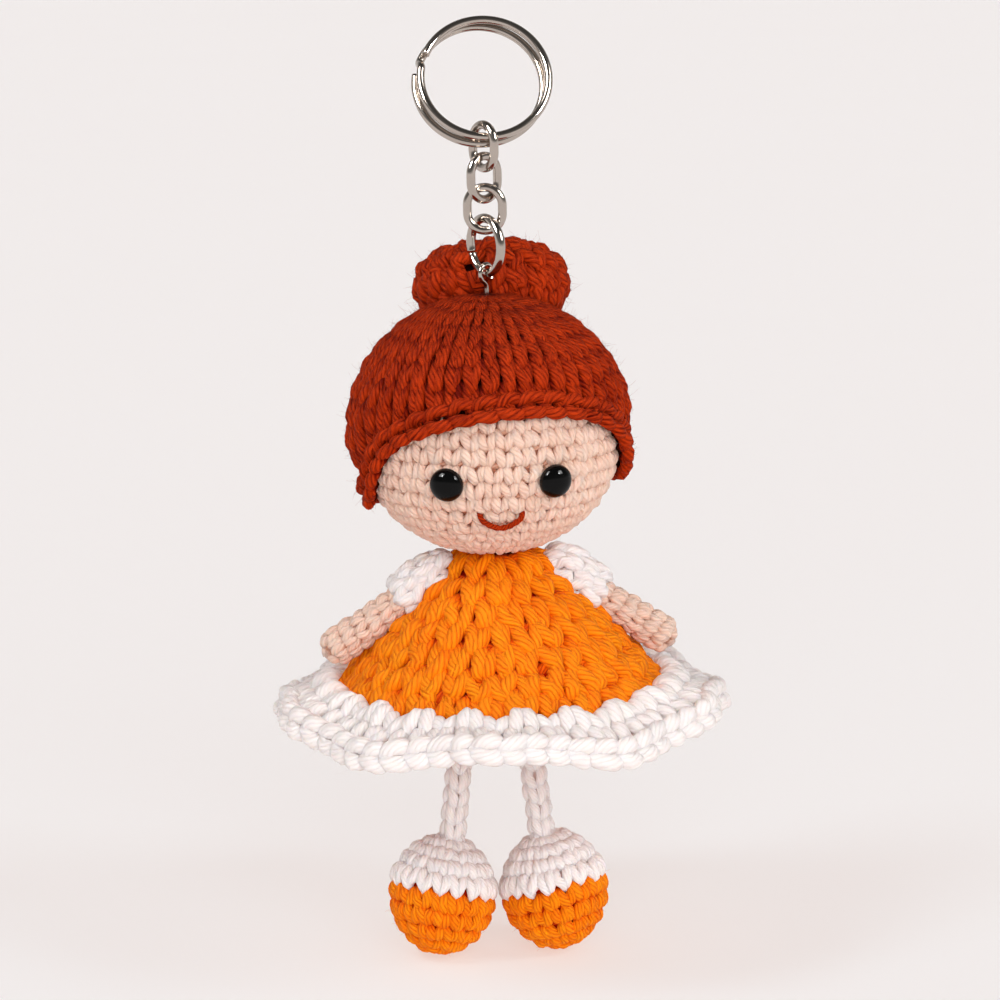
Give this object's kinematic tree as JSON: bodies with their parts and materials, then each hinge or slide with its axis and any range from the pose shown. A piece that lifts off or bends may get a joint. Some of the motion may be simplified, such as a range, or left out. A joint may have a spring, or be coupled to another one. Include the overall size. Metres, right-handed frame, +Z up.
{
  "type": "doll keychain",
  "caption": "Crocheted stuffed doll with a bun, a flared dress and ball feet, hung from a split ring by a short wire chain.",
  "frame": {"origin": "inside of the split ring's top, where a hook or key carries it", "axes": "+Z up, -Y the way the doll looks, +X towards the doll's own left hand"},
  "size_m": [0.0821, 0.0826, 0.1713],
  "materials": {
    "nickel": "polished nickel plate",
    "eye_black": "glossy",
    "washer_nylon": "moulded",
    "hair_yarn": "crocheted rust-red acrylic yarn",
    "skin_yarn": "crocheted skin-coloured cotton yarn",
    "orange_yarn": "crocheted thick orange yarn",
    "white_yarn": "crocheted white yarn",
    "filling": "loose polyester fibre"
  },
  "bodies": {
    "ring": {"split_ring": "nickel"},
    "link_1": {"chain_link_1": "nickel"},
    "link_2": {"chain_link_2": "nickel"},
    "link_3": {"chain_link_3": "nickel"},
    "jump": {"jump_ring": "nickel"},
    "doll": {"eye_pin": "nickel", "safety_eye_left": "eye_black", "safety_eye_right": "eye_black", "eye_washer_left": "washer_nylon", "eye_washer_right": "washer_nylon", "mouth": "hair_yarn", "head": "skin_yarn", "head_stuffing": "filling", "hair_cap": "hair_yarn", "hair_rim": "hair_yarn", "hair_bun": "hair_yarn", "bun_stuffing": "filling", "torso": "skin_yarn", "torso_stuffing": "filling", "dress": "orange_yarn", "dress_ruffle": "white_yarn"},
    "left_arm": {"arm_left": "skin_yarn", "sleeve_left": "white_yarn"},
    "right_arm": {"arm_right": "skin_yarn", "sleeve_right": "white_yarn"},
    "left_leg": {"leg_left": "white_yarn"},
    "right_leg": {"leg_right": "white_yarn"},
    "left_foot": {"sock_left": "white_yarn", "shoe_left": "orange_yarn", "foot_stuffing_left": "filling"},
    "right_foot": {"sock_right": "white_yarn", "shoe_right": "orange_yarn", "foot_stuffing_right": "filling"}
  },
  "joints": [
    {"name": "link_1_swing", "type": "hinge", "parent": "ring", "child": "link_1", "pos_m": [0, -0.0106, -0.01913], "axis": [1, 0, 0], "range_deg": [-40, 40]},
    {"name": "link_2_swing", "type": "hinge", "parent": "link_1", "child": "link_2", "pos_m": [0, -0.0106, -0.02409], "axis": [0.5299, -0.848, 0], "range_deg": [-30, 30]},
    {"name": "link_3_swing", "type": "hinge", "parent": "link_2", "child": "link_3", "pos_m": [0, -0.0106, -0.02964], "axis": [0.7986, 0.6018, 0], "range_deg": [-20, 20]},
    {"name": "jump_ring_swing", "type": "hinge", "parent": "link_3", "child": "jump", "pos_m": [0, -0.0106, -0.03519], "axis": [0.9744, -0.225, 0], "range_deg": [-20, 20]},
    {"name": "doll_swing", "type": "hinge", "parent": "jump", "child": "doll", "pos_m": [0, -0.0106, -0.04279], "axis": [0.4695, -0.8829, 0], "range_deg": [-15, 15]},
    {"name": "left_arm_lift", "type": "hinge", "parent": "doll", "child": "left_arm", "pos_m": [0.0122, -0.0106, -0.09779], "axis": [0, -1, 0], "range_deg": [0, 40]},
    {"name": "right_arm_lift", "type": "hinge", "parent": "doll", "child": "right_arm", "pos_m": [-0.0102, -0.0106, -0.09779], "axis": [0, 1, 0], "range_deg": [0, 40]},
    {"name": "left_leg_swing", "type": "hinge", "parent": "doll", "child": "left_leg", "pos_m": [0.0051, -0.0106, -0.12109], "axis": [1, 0, 0], "range_deg": [-40, 40]},
    {"name": "right_leg_swing", "type": "hinge", "parent": "doll", "child": "right_leg", "pos_m": [-0.0057, -0.0106, -0.12109], "axis": [1, 0, 0], "range_deg": [-40, 40]},
    {"name": "left_ankle", "type": "hinge", "parent": "left_leg", "child": "left_foot", "pos_m": [0.008, -0.0106, -0.14749], "axis": [1, 0, 0], "range_deg": [-25, 25]},
    {"name": "right_ankle", "type": "hinge", "parent": "right_leg", "child": "right_foot", "pos_m": [-0.0086, -0.0106, -0.14749], "axis": [1, 0, 0], "range_deg": [-25, 25]}
  ]
}
